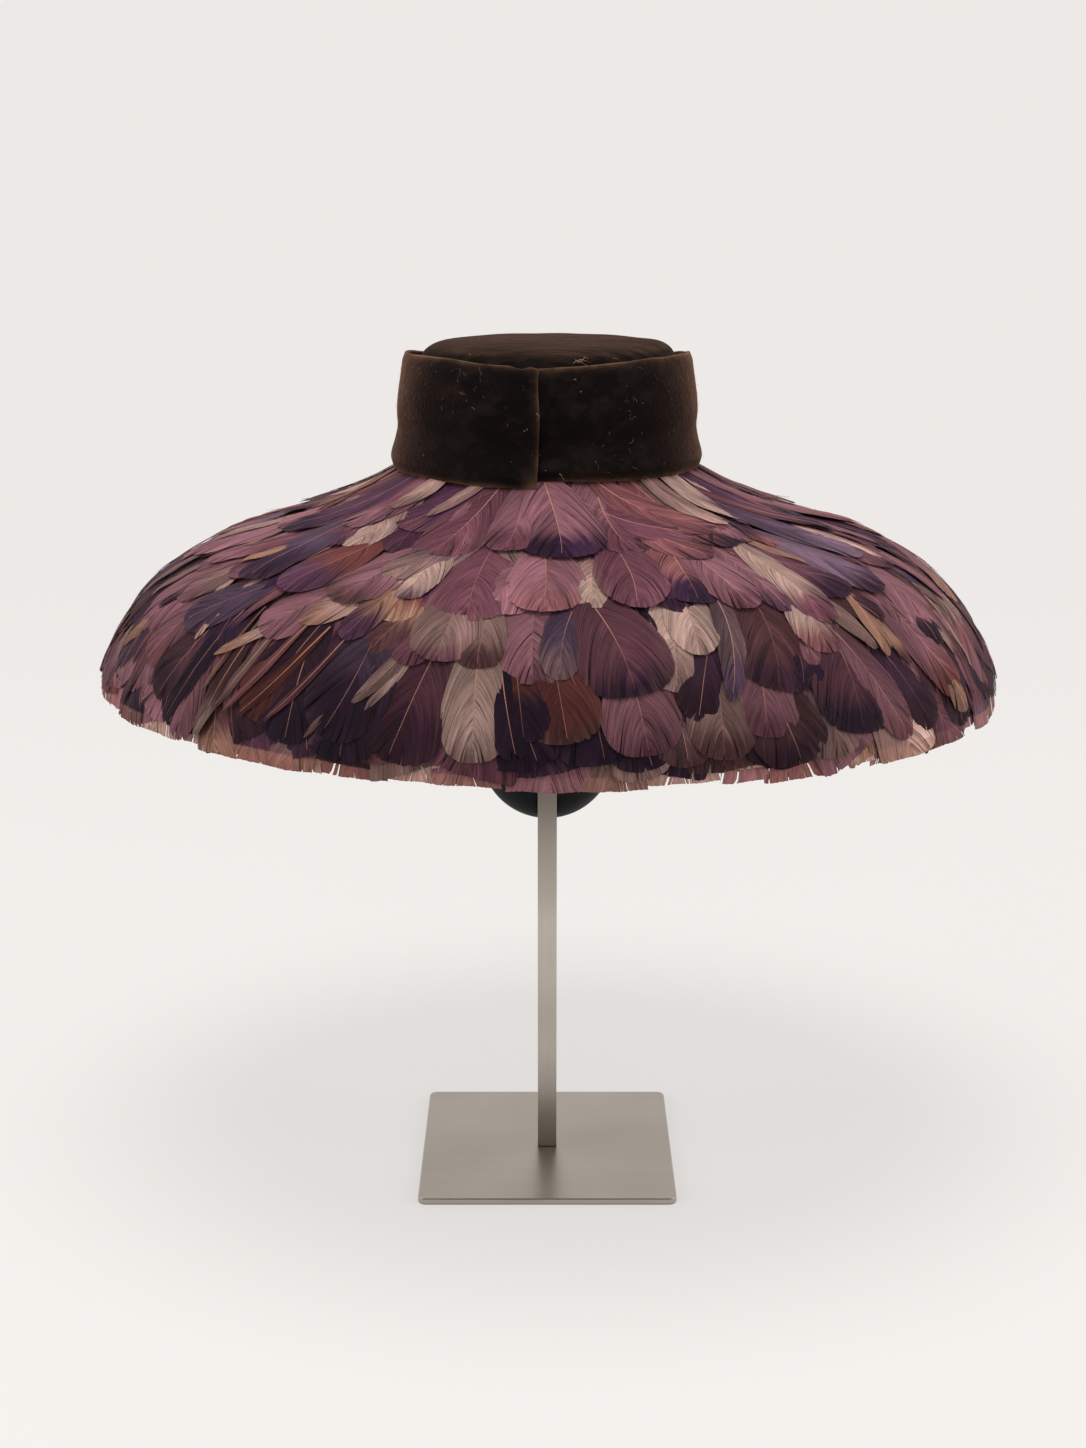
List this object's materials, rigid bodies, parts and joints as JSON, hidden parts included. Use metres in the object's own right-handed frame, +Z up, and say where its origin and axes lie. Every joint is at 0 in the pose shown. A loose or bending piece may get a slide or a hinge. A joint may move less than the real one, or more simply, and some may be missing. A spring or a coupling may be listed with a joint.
{
  "type": "feathered wide-brimmed hat on a plain display stand",
  "caption": "Wide mushroom brim covered in overlapping feathers, low velvet crown with a lapped velvet band, held up by a padded form on a plain post and square foot.",
  "frame": {"origin": "centre of the stand's square foot, on the surface that it stands on", "axes": "+Z up along the post, +X across the hat's wider way, -Y towards the side where the velvet band laps"},
  "size_m": [0.5121, 0.4493, 0.4908],
  "materials": {
    "steel": "satin brushed steel with fine scratches",
    "pad_cloth": "matt black covering cloth",
    "velvet": "dark brown silk velvet with a worn edge",
    "foundation": "matt dark brown stiffened cloth",
    "feather": "dyed feathers in plum, mauve, violet, taupe and tan"
  },
  "bodies": {
    "root": {"stand_plate": "steel", "stand_post": "steel", "support_pad": "pad_cloth", "crown": "velvet", "velvet_band": "velvet", "brim_foundation_inner": "foundation", "brim_foundation_middle": "foundation", "brim_foundation_outer": "foundation", "feather_row_1": "feather", "feather_row_2": "feather", "feather_row_3": "feather", "feather_row_4": "feather", "feather_row_5": "feather"}
  },
  "joints": []
}
